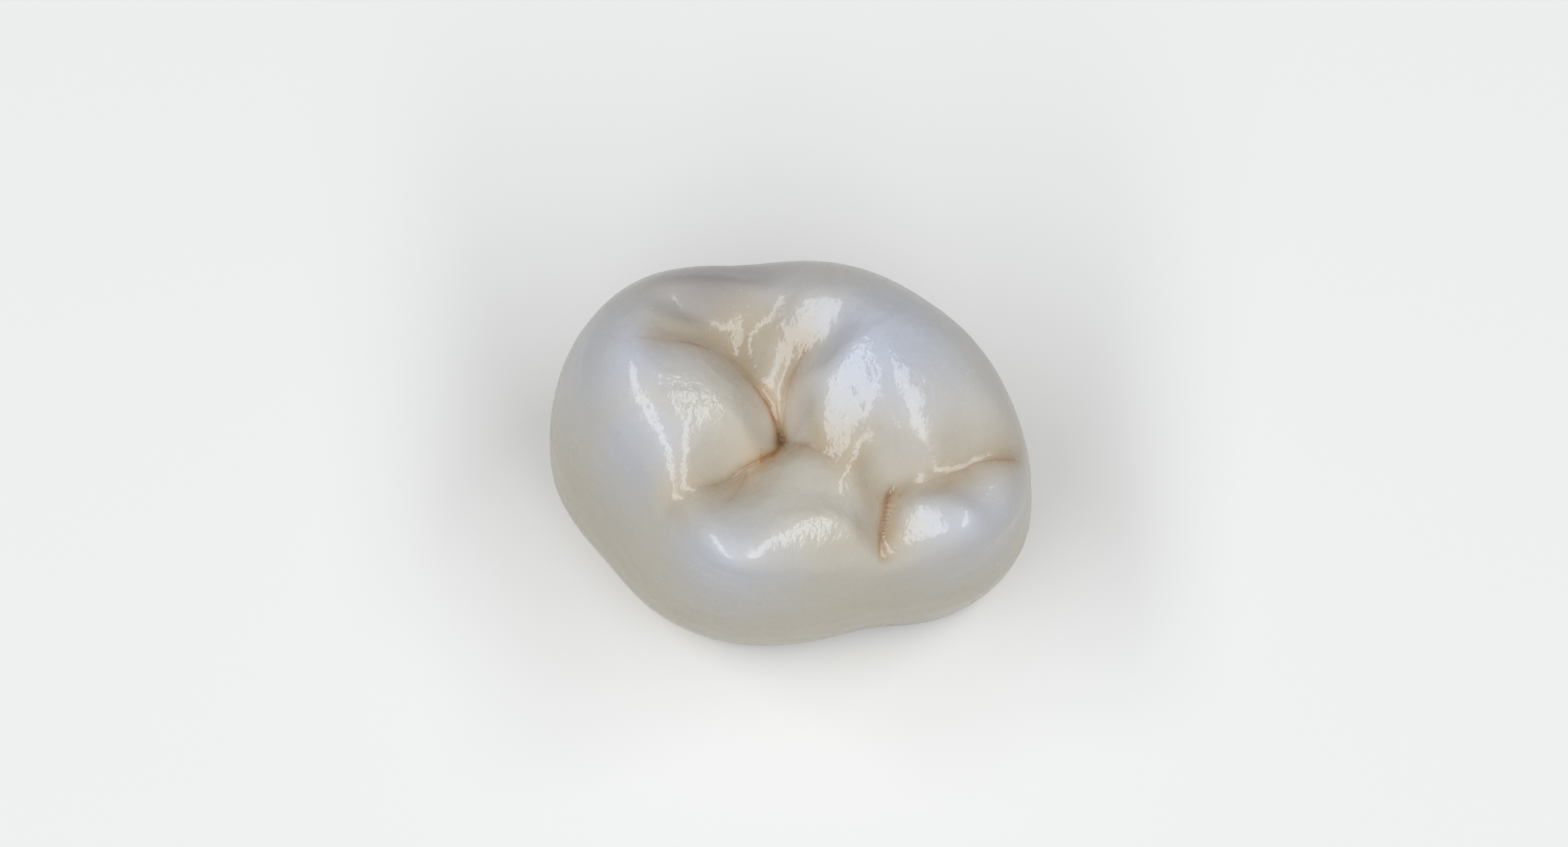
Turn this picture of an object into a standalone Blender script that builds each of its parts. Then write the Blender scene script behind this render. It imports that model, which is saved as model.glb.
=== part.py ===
# A ceramic crown for an upper right molar, milled in one piece and glazed.
# It stands on its margin, biting side up. +X is the tongue side, +Y the front of the mouth,
# +Z the biting side, and the origin is under the middle of its box.

import math

import bmesh
import bpy
import numpy as np

# Lengths below are millimetres
MM = 0.001

BUCCOLINGUAL_WIDTH = 11.1
MESIODISTAL_WIDTH = 9.6

# From the margin line to the tip of the highest cusp, and how far the rest lies below it
CROWN_HEIGHT = 7.95
ML_CUSP_DROP = 0.10
DB_CUSP_DROP = 0.30
DL_CUSP_DROP = 1.90
MESIAL_RIDGE_DROP = 1.70
DISTAL_RIDGE_DROP = 3.05
OBLIQUE_SADDLE_DROP = 1.75
CENTRAL_PIT_DROP = 2.40

# Outer wall: how high its widest line runs, how far it draws in below and above that line, and
# how much of the drawing in above is taken back at the two distal corners
BUCCAL_CONTOUR_HEIGHT = 1.4
LINGUAL_CONTOUR_HEIGHT = 2.0
MESIAL_CONTOUR_HEIGHT = 3.4
DISTAL_CONTOUR_HEIGHT = 3.6
BUCCAL_NECK_TAPER = 0.45
LINGUAL_NECK_TAPER = 0.55
PROXIMAL_NECK_TAPER = 0.85
BUCCAL_LEAN = 2.5
LINGUAL_LEAN = 1.7
MESIAL_LEAN = 2.3
DISTAL_LEAN = 1.8
DISTOBUCCAL_FULLNESS = 2.5
DISTOLINGUAL_FULLNESS = 2.1
DISTOBUCCAL_TURN_DEG = 235.0
DISTOLINGUAL_TURN_DEG = 308.0
FULLNESS_SPREAD_DEG = 24.0

# Margin and the hollow that seats on the prepared tooth
MARGIN_RISE = 0.5
MARGIN_SHOULDER = 0.6
OCCLUSAL_THICKNESS = 1.15
HOLLOW_TAPER_DEG = 4.0
HOLLOW_CORNER_RADIUS = 0.6
HOLLOW_ROOF_RISE = 0.5

# Rounding of the rim, and of the groove banks as a share
EDGE_ROUNDING = 1.0
BANK_ROUNDNESS = 0.80

# Outline at the widest line: rounded lobes in shares of the half widths (x, y, radius)
LOBES = {
    "mesiobuccal": (-0.404, 0.350, 0.621),
    "body": (0.003, -0.028, 0.901),
    "lingual": (0.371, -0.189, 0.639),
    "distolingual": (0.490, -0.469, 0.493),
}
LOBE_BLEND = 14.0

MB_TIP = CROWN_HEIGHT
ML_TIP = CROWN_HEIGHT - ML_CUSP_DROP
DB_TIP = CROWN_HEIGHT - DB_CUSP_DROP
DL_TIP = CROWN_HEIGHT - DL_CUSP_DROP
MESIAL_RIDGE = CROWN_HEIGHT - MESIAL_RIDGE_DROP
DISTAL_RIDGE = CROWN_HEIGHT - DISTAL_RIDGE_DROP
SADDLE = CROWN_HEIGHT - OBLIQUE_SADDLE_DROP
CENTRAL_PIT = CROWN_HEIGHT - CENTRAL_PIT_DROP

# Crests run through named points: place in shares of the half widths, then height
CREST_POINTS = {
    "mb_mesial": (-0.645, 0.456, MB_TIP - 0.15),
    "mb_tip": (-0.640, 0.245, MB_TIP),
    "mb_distal": (-0.622, 0.006, MB_TIP - 0.20),
    "mb_end": (-0.580, -0.200, MB_TIP - 0.50),
    "mb_heel": (-0.530, -0.330, MB_TIP - 1.10),
    "mb_slope": (-0.402, 0.099, MB_TIP - 0.45),
    "mb_foot": (-0.218, -0.055, MB_TIP - 1.15),
    "mesial_1": (-0.414, 0.683, MESIAL_RIDGE + 0.80),
    "mesial_2": (-0.250, 0.740, MESIAL_RIDGE + 0.12),
    "mesial_3": (-0.060, 0.710, MESIAL_RIDGE),
    "mesial_4": (0.190, 0.570, MESIAL_RIDGE + 0.40),
    "mesial_5": (0.377, 0.375, MESIAL_RIDGE + 0.95),
    "ml_mesial": (0.450, 0.157, ML_TIP - 0.15),
    "ml_tip": (0.440, -0.040, ML_TIP),
    "ml_distal": (0.423, -0.239, ML_TIP - 0.25),
    "ml_end": (0.413, -0.376, ML_TIP - 0.50),
    "ml_heel": (0.419, -0.455, ML_TIP - 1.20),
    "ml_inner": (0.350, -0.060, ML_TIP - 0.22),
    "ml_slope": (0.246, -0.082, ML_TIP - 0.45),
    "ml_foot": (0.059, -0.113, ML_TIP - 1.05),
    "lobe_top": (0.172, 0.378, MESIAL_RIDGE + 0.40),
    "lobe_foot": (0.056, 0.230, MESIAL_RIDGE + 0.15),
    "saddle": (0.148, -0.350, SADDLE + 0.30),
    "db_foot": (-0.139, -0.363, SADDLE + 0.50),
    "db_slope": (-0.280, -0.720, DB_TIP - 0.35),
    "db_mesial": (-0.660, -0.560, DB_TIP - 0.40),
    "db_tip": (-0.610, -0.820, DB_TIP),
    "db_distal": (-0.460, -1.000, DB_TIP - 0.20),
    "db_lobe": (-0.010, -0.900, DB_TIP - 1.05),
    "distal_1": (-0.240, -1.060, DB_TIP - 0.90),
    "distal_2": (-0.040, -1.060, DISTAL_RIDGE + 0.45),
    "distal_3": (0.095, -1.060, DISTAL_RIDGE),
    "dl_distal": (0.250, -1.080, DISTAL_RIDGE + 0.55),
    "dl_tip": (0.580, -0.880, DL_TIP),
    "dl_mesial": (0.740, -0.740, DL_TIP - 0.25),
    "dl_inner": (0.500, -0.880, DL_TIP - 0.20),
    "dl_slope": (0.360, -0.870, DL_TIP - 0.55),
}

# Each crest: its points, how steeply its sides fall, and how broad its back is in millimetres
CRESTS = (
    (("mesial_1", "mb_mesial", "mb_tip", "mb_distal", "mb_end", "mb_heel"), 0.48, 0.7),
    (("mb_mesial", "mesial_1", "mesial_2", "mesial_3", "mesial_4", "mesial_5", "ml_mesial"), 0.70, 0.6),
    (("mesial_5", "ml_mesial", "ml_tip", "ml_distal", "ml_end", "ml_heel"), 0.68, 0.6),
    (("mb_tip", "mb_slope", "mb_foot"), 0.38, 1.0),
    (("ml_inner", "ml_slope", "ml_foot"), 0.42, 0.9),
    (("mesial_5", "lobe_top", "lobe_foot"), 0.38, 0.8),
    (("ml_end", "saddle", "db_foot"), 0.50, 1.0),
    (("db_foot", "db_slope", "db_tip"), 0.48, 1.1),
    (("db_distal", "db_lobe"), 0.55, 1.0),
    (("db_mesial", "db_tip", "db_distal", "distal_1", "distal_2", "distal_3", "dl_distal"), 0.55, 0.7),
    (("dl_distal", "dl_tip", "dl_mesial"), 0.60, 0.6),
    (("dl_inner", "dl_slope"), 0.40, 1.1),
)
CREST_BLEND = 6.0

# Developmental grooves between the lobes: points in shares of the half widths, then depth at
# each end, how far each bank reaches and how broad the floor is, in millimetres
GROOVES = (
    (((-0.074, -0.120), (-0.074, -0.014), (-0.092, 0.120), (-0.135, 0.245), (-0.180, 0.340),
      (-0.225, 0.405), (-0.310, 0.455), (-0.420, 0.500)), 1.25, 0.50, 1.2, 0.30),
    (((-0.074, -0.120), (-0.044, 0.010), (0.000, 0.110), (0.070, 0.190), (0.120, 0.240)), 1.10, 0.30, 1.0, 0.25),
    (((-0.074, -0.120), (-0.130, -0.205), (-0.205, -0.250), (-0.290, -0.262), (-0.415, -0.305),
      (-0.510, -0.330), (-0.620, -0.352), (-0.725, -0.400), (-0.815, -0.480)), 1.25, 0.60, 1.3, 0.20),
    (((-0.074, -0.120), (0.010, -0.230), (0.085, -0.330), (0.190, -0.450)), 0.90, 0.10, 1.0, 0.30),
    (((0.190, -0.450), (0.270, -0.520), (0.322, -0.556)), 0.10, 1.20, 0.9, 0.35),
    (((0.322, -0.556), (0.281, -0.603), (0.235, -0.715), (0.185, -0.848), (0.130, -0.960)), 1.45, 1.40, 1.2, 0.12),
    (((0.130, -0.965), (0.050, -0.975), (-0.030, -0.975)), 1.20, 0.40, 0.8, 0.20),
    (((0.322, -0.556), (0.470, -0.600), (0.616, -0.590), (0.738, -0.558), (0.890, -0.555)), 1.30, 1.00, 1.4, 0.35),
)

# Fossae: place in shares of the half widths, depth and radius in millimetres
FOSSAE = (
    (-0.048, -0.110, 0.55, 0.80),
    (-0.090, 0.380, 0.60, 0.90),
    (0.316, -0.540, 0.45, 0.80),
    (0.147, -0.860, 0.25, 0.60),
    (-0.330, -0.300, 0.45, 0.75),
)

# Broad facets on the cusps: place, slope towards +X and +Y, half width and half depth of the
# facet in millimetres, how much it bulges, and its share of the surface in its middle
FACETS = (
    (0.160, 0.330, 0.37, 0.12, 1.15, 1.00, 0.05, 0.90),
    (0.320, -0.030, 0.36, 0.12, 0.75, 1.00, 0.07, 0.85),
    (0.140, -0.200, 0.36, 0.15, 0.75, 0.70, 0.10, 0.80),
    (0.380, -0.900, 0.36, 0.30, 1.10, 0.85, 0.05, 0.90),
    (-0.060, -0.800, -0.20, 0.34, 1.25, 1.00, 0.05, 0.90),
    (-0.210, 0.590, 0.14, 0.50, 1.15, 0.50, 0.03, 0.70),
)
FACET_TURN_DEG = 18.0

SEGMENTS = 96
OCCLUSAL_RINGS = 26
WALL_RINGS = 15
RAY_HEIGHT = 1.4


def lobed_reach(angle):
    """Outline radius in shares, before it is fitted to the widths."""
    total = 0.0
    for x, y, radius in LOBES.values():
        along = x * np.cos(angle) + y * np.sin(angle)
        across = x * np.sin(angle) - y * np.cos(angle)
        reach = along + np.sqrt(np.maximum(radius ** 2 - across ** 2, 0.001))
        total = total + np.exp(LOBE_BLEND * reach)
    return np.log(total) / LOBE_BLEND


ALL_ROUND = np.linspace(0.0, 2.0 * math.pi, 720, endpoint=False)
LOBED_X = lobed_reach(ALL_ROUND) * np.cos(ALL_ROUND)
LOBED_Y = lobed_reach(ALL_ROUND) * np.sin(ALL_ROUND)
HALF_X = 0.5 * BUCCOLINGUAL_WIDTH
HALF_Y = 0.5 * MESIODISTAL_WIDTH
FIT_X = HALF_X * 2.0 / np.ptp(LOBED_X)
FIT_Y = HALF_Y * 2.0 / np.ptp(LOBED_Y)


def outline_reach(x, y):
    """Distance in mm from the axis to the widest line, towards each point."""
    x = x + 1e-9
    reach = lobed_reach(np.arctan2(y / FIT_Y, x / FIT_X))
    return reach * np.hypot(x, y) / np.hypot(x / FIT_X, y / FIT_Y)


def around(x, y, buccal, lingual, mesial, distal):
    """A value that passes smoothly from side to side."""
    x = x + 1e-9
    cos, sin = x / np.hypot(x, y), y / np.hypot(x, y)
    sideways = np.where(cos < 0.0, buccal, lingual) * cos ** 2
    endways = np.where(sin < 0.0, distal, mesial) * sin ** 2
    return sideways + endways


def fullness(x, y, turn_deg):
    """One in the named direction, fading to nought on both sides of it."""
    away = np.degrees(np.arctan2(y, x)) - turn_deg
    away = (away + 180.0) % 360.0 - 180.0
    return np.exp(-(away / FULLNESS_SPREAD_DEG) ** 2)


def margin_height(x, y):
    """The margin is level at the cheek and tongue sides and rises between the teeth."""
    sin = np.abs(y) / (np.hypot(x, y) + 1e-9)
    step = np.clip((sin - 0.55) / 0.45, 0.0, 1.0)
    return MARGIN_RISE * step * step * (3.0 - 2.0 * step)


def wall_radius(x, y, z):
    reach = outline_reach(x, y)
    contour = around(x, y, BUCCAL_CONTOUR_HEIGHT, LINGUAL_CONTOUR_HEIGHT,
                     MESIAL_CONTOUR_HEIGHT, DISTAL_CONTOUR_HEIGHT)
    taper = around(x, y, BUCCAL_NECK_TAPER, LINGUAL_NECK_TAPER,
                   PROXIMAL_NECK_TAPER, PROXIMAL_NECK_TAPER)
    lean = around(x, y, BUCCAL_LEAN, LINGUAL_LEAN, MESIAL_LEAN, DISTAL_LEAN)
    lean = lean - DISTOBUCCAL_FULLNESS * fullness(x, y, DISTOBUCCAL_TURN_DEG)
    lean = lean - DISTOLINGUAL_FULLNESS * fullness(x, y, DISTOLINGUAL_TURN_DEG)
    below = np.clip((contour - z) / contour, 0.0, 1.4)
    top = CROWN_HEIGHT + 0.4
    above = np.clip((z - contour) / (top - contour), 0.0, 0.995)
    return reach - taper * below ** 2 - lean * (1.0 - np.sqrt(1.0 - above ** 2))


def smooth_path(points):
    """Eight short steps for each span of a curve through the points."""
    points = np.array(points, float)
    padded = np.vstack([2.0 * points[0] - points[1], points, 2.0 * points[-1] - points[-2]])
    steps = np.linspace(0.0, 1.0, 8, endpoint=False)[:, None]
    path = []
    for a, b, c, d in zip(padded, padded[1:], padded[2:], padded[3:]):
        path.append(0.5 * (2.0 * b + (c - a) * steps + (2.0 * a - 5.0 * b + 4.0 * c - d) * steps ** 2
                           + (3.0 * b - a - 3.0 * c + d) * steps ** 3))
    return np.vstack(path + [points[-1:]])


def nearest_on_path(x, y, path):
    """Squared distance in the plan to each step of a path, with the third value there."""
    start, end = path[:-1], path[1:]
    run = end - start
    length = (run[:, :2] ** 2).sum(1) + 1e-12
    px = x[..., None] - start[:, 0]
    py = y[..., None] - start[:, 1]
    share = np.clip((px * run[:, 0] + py * run[:, 1]) / length, 0.0, 1.0)
    squared = (px - share * run[:, 0]) ** 2 + (py - share * run[:, 1]) ** 2
    return squared, start[:, 2] + share * run[:, 2]


CREST_PATHS = []
for crest_names, fall, back in CRESTS:
    spots = [CREST_POINTS[name] for name in crest_names]
    CREST_PATHS.append((smooth_path([(x * HALF_X, y * HALF_Y, z) for x, y, z in spots]), fall, back))

GROOVE_PATHS = []
for spots, start_depth, end_depth, bank, floor in GROOVES:
    depths = np.linspace(start_depth, end_depth, len(spots))
    GROOVE_PATHS.append((smooth_path([(x * HALF_X, y * HALF_Y, depth) for (x, y), depth in zip(spots, depths)]),
                         bank, floor))


def grooved_height(x, y):
    """Crests joined softly, less the fossae and grooves."""
    total = np.exp(CREST_BLEND * (CENTRAL_PIT - 0.3 + 0.0 * x))
    for path, fall, back in CREST_PATHS:
        squared, height = nearest_on_path(x, y, path)
        side = height - fall * (np.sqrt(squared + back ** 2) - back)
        total = total + np.exp(CREST_BLEND * side.max(-1))
    height = np.log(total) / CREST_BLEND
    for fx, fy, depth, radius in FOSSAE:
        squared = (x - fx * HALF_X) ** 2 + (y - fy * HALF_Y) ** 2
        height = height - depth * np.exp(-squared / radius ** 2)
    cut = 0.0
    for path, bank, floor in GROOVE_PATHS:
        squared, depth = nearest_on_path(x, y, path)
        near = np.clip(1.0 - (np.sqrt(squared + floor ** 2) - floor) / bank, 0.0, 1.0)
        cut = cut + (depth * (1.0 - np.sqrt(1.0 - BANK_ROUNDNESS * near ** 2))).max(-1) ** 4
    return height - cut ** 0.25


FACET_X = math.cos(math.radians(FACET_TURN_DEG))
FACET_Y = math.sin(math.radians(FACET_TURN_DEG))
FACET_MIDDLES = [float(grooved_height(np.array([facet[0] * HALF_X]), np.array([facet[1] * HALF_Y]))[0])
                 for facet in FACETS]


def occlusal_height(x, y):
    """Height of the biting surface, with the facets let into the grooved form."""
    height = grooved_height(x, y)
    for facet, middle in zip(FACETS, FACET_MIDDLES):
        fx, fy, slope_x, slope_y, across, along, bulge, share = facet
        dx, dy = x - fx * HALF_X, y - fy * HALF_Y
        u, v = FACET_X * dx - FACET_Y * dy, FACET_Y * dx + FACET_X * dy
        plane = middle + slope_x * dx + slope_y * dy - bulge * (u ** 2 + v ** 2)
        window = share * np.exp(-((u / across) ** 2 + (v / along) ** 2) ** 2)
        height = height + window * (plane - height)
    return height


def outside(x, y, z):
    """Below zero inside the crown's outer form: the wall and the biting surface, blended."""
    wall = np.hypot(x, y) - wall_radius(x, y, z)
    top = z - occlusal_height(x, y)
    near = np.clip(EDGE_ROUNDING - np.abs(wall - top), 0.0, None) / EDGE_ROUNDING
    return np.maximum(wall, top) + near ** 2 * EDGE_ROUNDING * 0.25


def outer_point(turn, tilt):
    """Where rays from the middle of the crown, turned and tilted from +Z, meet its surface."""
    dx, dy, dz = np.sin(tilt) * np.cos(turn), np.sin(tilt) * np.sin(turn), np.cos(tilt)
    near, far = np.full(turn.shape, 1.5), np.full(turn.shape, 12.0)
    for _ in range(34):
        middle = 0.5 * (near + far)
        out = outside(dx * middle, dy * middle, RAY_HEIGHT + dz * middle) > 0.0
        near, far = np.where(out, near, middle), np.where(out, middle, far)
    return np.stack([dx * near, dy * near, RAY_HEIGHT + dz * near], -1)


def margin_point(turn):
    """The foot of the outer wall for each turn."""
    x, y = np.cos(turn), np.sin(turn)
    z = margin_height(x, y)
    radius = wall_radius(x * HALF_X, y * HALF_X, z)
    return np.stack([radius * x, radius * y, z], -1)


def ring_turns(count):
    return np.linspace(0.0, 2.0 * math.pi, count, endpoint=False)


def outer_rings():
    """Rings of points from the top down to the margin, with more points as they widen."""
    rings = []
    edge = 1.02
    shares = np.linspace(0.0, 1.0, OCCLUSAL_RINGS + 1)[1:]
    for index, share in enumerate(shares):
        count = SEGMENTS // 8 if index < 1 else SEGMENTS // 4 if index < 3 else \
            SEGMENTS // 2 if index < 7 else SEGMENTS
        turn = ring_turns(count)
        rings.append(outer_point(turn, np.full(count, edge * share)))
    turn = ring_turns(SEGMENTS)
    foot = margin_point(turn)
    last = np.arctan2(np.hypot(foot[:, 0], foot[:, 1]), foot[:, 2] - RAY_HEIGHT)
    for share in np.linspace(0.0, 1.0, WALL_RINGS + 1)[1:-1]:
        rings.append(outer_point(turn, edge + (last - edge) * share))
    rings.append(foot)
    return rings


def hollow_roof(x, y):
    """Height of the hollow's roof, lowest along the middle like the prepared tooth."""
    ridge = HOLLOW_ROOF_RISE * (np.sqrt((x / HALF_X) ** 2 + 0.04) - 0.2) * 2.0
    return CENTRAL_PIT + 0.05 - OCCLUSAL_THICKNESS + ridge


def hollow_rings():
    """Rings of the hollow, from its rim on the margin up its wall and in to the roof."""
    turn = ring_turns(SEGMENTS)
    x, y = np.cos(turn), np.sin(turn)
    foot = margin_height(x, y)
    rim = wall_radius(x * HALF_X, y * HALF_X, foot) - MARGIN_SHOULDER
    slope = math.tan(math.radians(HOLLOW_TAPER_DEG))
    rings = [np.stack([rim * x, rim * y, foot], -1)]
    turn = ring_turns(SEGMENTS // 2)
    x, y, foot, rim = x[::2], y[::2], foot[::2], rim[::2]
    corner = HOLLOW_CORNER_RADIUS
    roof = hollow_roof(rim * x * 0.9, rim * y * 0.9)
    bend = roof - corner
    for share in (0.25, 0.5, 0.75, 1.0):
        z = foot + (bend - foot) * share
        radius = rim - (z - foot) * slope
        rings.append(np.stack([radius * x, radius * y, z], -1))
    for step in (0.2, 0.4, 0.6, 0.8, 1.0):
        angle = step * 0.5 * math.pi
        radius = rim - (bend - foot) * slope - corner * (1.0 - math.cos(angle))
        z = bend + corner * math.sin(angle)
        rings.append(np.stack([radius * x, radius * y, z], -1))
    last = rings[-1]
    for share, thin in ((0.8, 1), (0.6, 1), (0.4, 2), (0.2, 4)):
        px, py = last[::thin, 0] * share, last[::thin, 1] * share
        rings.append(np.stack([px, py, hollow_roof(px, py)], -1))
    return rings


def join_rings(mesh, upper, lower):
    """Bridge two closed rings of vertices, the lower with as many points or twice as many."""
    ratio = len(lower) // len(upper)
    for index in range(len(upper)):
        after = (index + 1) % len(upper)
        if ratio == 1:
            mesh.faces.new((upper[index], lower[index], lower[after], upper[after]))
        else:
            left, middle = lower[2 * index], lower[2 * index + 1]
            right = lower[(2 * index + 2) % len(lower)]
            mesh.faces.new((upper[index], left, middle))
            mesh.faces.new((upper[index], middle, upper[after]))
            mesh.faces.new((upper[after], middle, right))


def build_crown():
    mesh = bmesh.new()
    outer = [[mesh.verts.new(point * MM) for point in ring] for ring in outer_rings()]
    top = mesh.verts.new(outer_point(np.zeros(1), np.zeros(1))[0] * MM)
    for index in range(len(outer[0])):
        mesh.faces.new((top, outer[0][index], outer[0][(index + 1) % len(outer[0])]))
    for upper, lower in zip(outer, outer[1:]):
        join_rings(mesh, upper, lower)
    inner = [[mesh.verts.new(point * MM) for point in ring] for ring in hollow_rings()]
    join_rings(mesh, outer[-1], inner[0])
    for lower, upper in zip(inner, inner[1:]):
        if len(upper) == len(lower):
            join_rings(mesh, lower, upper)
        else:
            join_rings(mesh, upper, lower)
    roof = mesh.verts.new((0.0, 0.0, float(hollow_roof(0.0, 0.0)) * MM))
    for index in range(len(inner[-1])):
        mesh.faces.new((roof, inner[-1][(index + 1) % len(inner[-1])], inner[-1][index]))
    low = [min(vert.co[axis] for vert in mesh.verts) for axis in range(2)]
    high = [max(vert.co[axis] for vert in mesh.verts) for axis in range(2)]
    for vert in mesh.verts:
        vert.co.x -= 0.5 * (low[0] + high[0])
        vert.co.y -= 0.5 * (low[1] + high[1])
    bmesh.ops.recalc_face_normals(mesh, faces=mesh.faces)
    bmesh.ops.triangulate(mesh, faces=mesh.faces)
    data = bpy.data.meshes.new("crown")
    mesh.to_mesh(data)
    mesh.free()
    data.shade_smooth()
    data.set_sharp_from_angle(angle=math.radians(50.0))
    crown = bpy.data.objects.new("crown", data)
    bpy.context.collection.objects.link(crown)
    return crown


def glazed_ceramic():
    material = bpy.data.materials.new("glazed_ceramic")
    material.use_nodes = True
    shader = material.node_tree.nodes["Principled BSDF"]
    shader.inputs["Base Color"].default_value = (0.71, 0.70, 0.66, 1.0)
    shader.inputs["Roughness"].default_value = 0.12
    shader.inputs["Metallic"].default_value = 0.0
    return material


for old in list(bpy.data.objects):
    bpy.data.objects.remove(old)

build_crown().data.materials.append(glazed_ceramic())
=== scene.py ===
import math

import bmesh
import bpy
import numpy as np
from mathutils import Matrix, Vector


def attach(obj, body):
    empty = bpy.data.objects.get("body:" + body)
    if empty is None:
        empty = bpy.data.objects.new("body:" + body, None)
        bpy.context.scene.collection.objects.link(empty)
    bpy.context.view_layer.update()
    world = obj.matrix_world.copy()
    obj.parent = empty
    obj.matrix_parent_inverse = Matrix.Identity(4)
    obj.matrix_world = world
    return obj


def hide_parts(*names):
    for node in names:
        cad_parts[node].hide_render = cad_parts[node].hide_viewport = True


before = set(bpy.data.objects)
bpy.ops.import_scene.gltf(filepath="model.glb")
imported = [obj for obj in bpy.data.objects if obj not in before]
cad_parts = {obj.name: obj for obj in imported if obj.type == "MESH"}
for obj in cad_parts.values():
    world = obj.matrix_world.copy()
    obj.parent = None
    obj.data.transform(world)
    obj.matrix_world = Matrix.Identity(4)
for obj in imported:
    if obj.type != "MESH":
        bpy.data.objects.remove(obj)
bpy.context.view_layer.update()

# Glazed ceramic crown for an upper right molar. +X is the tongue side, +Y the front of the mouth.
# Lengths in the crown's own dictionaries are millimetres, and plan places are shares of the half widths.
crownForm = {
    "width": 11.1, "depth": 9.6, "height": 7.95,
    "contour": (1.4, 2.0, 3.4, 3.6),        # height of the widest line: buccal, lingual, mesial, distal
    "neckTaper": (0.45, 0.55, 0.85, 0.85),
    "lean": (2.5, 1.7, 2.3, 1.8),
    "fuller": ((235.0, 2.5), (308.0, 2.1)),  # upright distal corners: direction, how much
    "fullerSpread": 24.0,
    "wallsClose": 0.4,                      # how far above the crown its walls would meet
    "marginRise": 0.5, "marginRiseFrom": 0.55, "shoulder": 0.6,
    "roofBelowPit": 1.10, "hollowTaper": 4.0, "hollowCorner": 0.6, "hollowRise": 1.0, "hollowValley": 0.2,
    "rimRounding": 1.0, "bankRoundness": 0.80, "crestBlend": 6.0, "floorBelowPit": 0.3,
    "facetAxis": (0.951, 0.309),            # the facets lie square to the photograph, turned 18 degrees
    "lobes": ((-0.404, 0.350, 0.621), (0.003, -0.028, 0.901), (0.371, -0.189, 0.639), (0.490, -0.469, 0.493)),
    "lobeBlend": 14.0,
    "segments": 448, "tableRings": 112, "wallRings": 44, "hollowRings": 24, "cornerRings": 10,
    "thinning": ((2, 16), (5, 8), (11, 4), (24, 2)),    # inside this ring, so many times fewer points
    "roofRings": ((0.9, 1), (0.8, 1), (0.7, 1), (0.6, 2), (0.5, 2), (0.4, 4), (0.3, 4), (0.2, 8), (0.1, 8)),
    "rayHeight": 1.4, "rayReach": (1.5, 12.0), "rayHalvings": 30, "tableTilt": 1.02, "sharpAngle": 50.0,
}

cuspHeights = {"mb": 7.95, "ml": 7.85, "db": 7.65, "dl": 6.05,
               "mesial": 6.25, "distal": 4.90, "saddle": 6.20, "pit": 5.55}

# each point: its place, the height it goes by, how far above or below that it lies
crestPoints = {
    "mbMesial": (-0.645, 0.456, "mb", -0.15), "mbTip": (-0.640, 0.245, "mb", 0.0),
    "mbDistal": (-0.622, 0.006, "mb", -0.20), "mbEnd": (-0.580, -0.200, "mb", -0.50),
    "mbHeel": (-0.530, -0.330, "mb", -1.10), "mbSlope": (-0.402, 0.099, "mb", -0.45),
    "mbFoot": (-0.218, -0.055, "mb", -1.15),
    "mesial1": (-0.414, 0.683, "mesial", 0.80), "mesial2": (-0.250, 0.740, "mesial", 0.12),
    "mesial3": (-0.060, 0.710, "mesial", 0.0), "mesial4": (0.190, 0.570, "mesial", 0.40),
    "mesial5": (0.377, 0.375, "mesial", 0.95),
    "mlMesial": (0.450, 0.157, "ml", -0.15), "mlTip": (0.440, -0.040, "ml", 0.0),
    "mlDistal": (0.423, -0.239, "ml", -0.25), "mlEnd": (0.413, -0.376, "ml", -0.50),
    "mlHeel": (0.419, -0.455, "ml", -1.20), "mlInner": (0.350, -0.060, "ml", -0.22),
    "mlSlope": (0.246, -0.082, "ml", -0.45), "mlFoot": (0.059, -0.113, "ml", -1.05),
    "lobeTop": (0.172, 0.378, "mesial", 0.40), "lobeFoot": (0.056, 0.230, "mesial", 0.15),
    "saddle": (0.148, -0.350, "saddle", 0.30), "dbFoot": (-0.139, -0.363, "saddle", 0.50),
    "dbSlope": (-0.280, -0.720, "db", -0.35), "dbMesial": (-0.660, -0.560, "db", -0.40),
    "dbTip": (-0.610, -0.820, "db", 0.0), "dbDistal": (-0.460, -1.000, "db", -0.20),
    "dbLobe": (-0.010, -0.900, "db", -1.05),
    "distal1": (-0.240, -1.060, "db", -0.90), "distal2": (-0.040, -1.060, "distal", 0.45),
    "distal3": (0.095, -1.060, "distal", 0.0),
    "dlDistal": (0.250, -1.080, "distal", 0.55), "dlTip": (0.580, -0.880, "dl", 0.0),
    "dlMesial": (0.740, -0.740, "dl", -0.25), "dlInner": (0.500, -0.880, "dl", -0.20),
    "dlSlope": (0.360, -0.870, "dl", -0.55),
}

# each crest: its points, how steeply its sides fall, how broad its back is
crests = (
    ("mesial1 mbMesial mbTip mbDistal mbEnd mbHeel", 0.48, 0.7),
    ("mbMesial mesial1 mesial2 mesial3 mesial4 mesial5 mlMesial", 0.70, 0.6),
    ("mesial5 mlMesial mlTip mlDistal mlEnd mlHeel", 0.68, 0.6),
    ("mbTip mbSlope mbFoot", 0.38, 1.0),
    ("mlInner mlSlope mlFoot", 0.42, 0.9),
    ("mesial5 lobeTop lobeFoot", 0.38, 0.8),
    ("mlEnd saddle dbFoot", 0.50, 1.0),
    ("dbFoot dbSlope dbTip", 0.48, 1.1),
    ("dbDistal dbLobe", 0.55, 1.0),
    ("dbMesial dbTip dbDistal distal1 distal2 distal3 dlDistal", 0.55, 0.7),
    ("dlDistal dlTip dlMesial", 0.60, 0.6),
    ("dlInner dlSlope", 0.40, 1.1),
)

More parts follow.
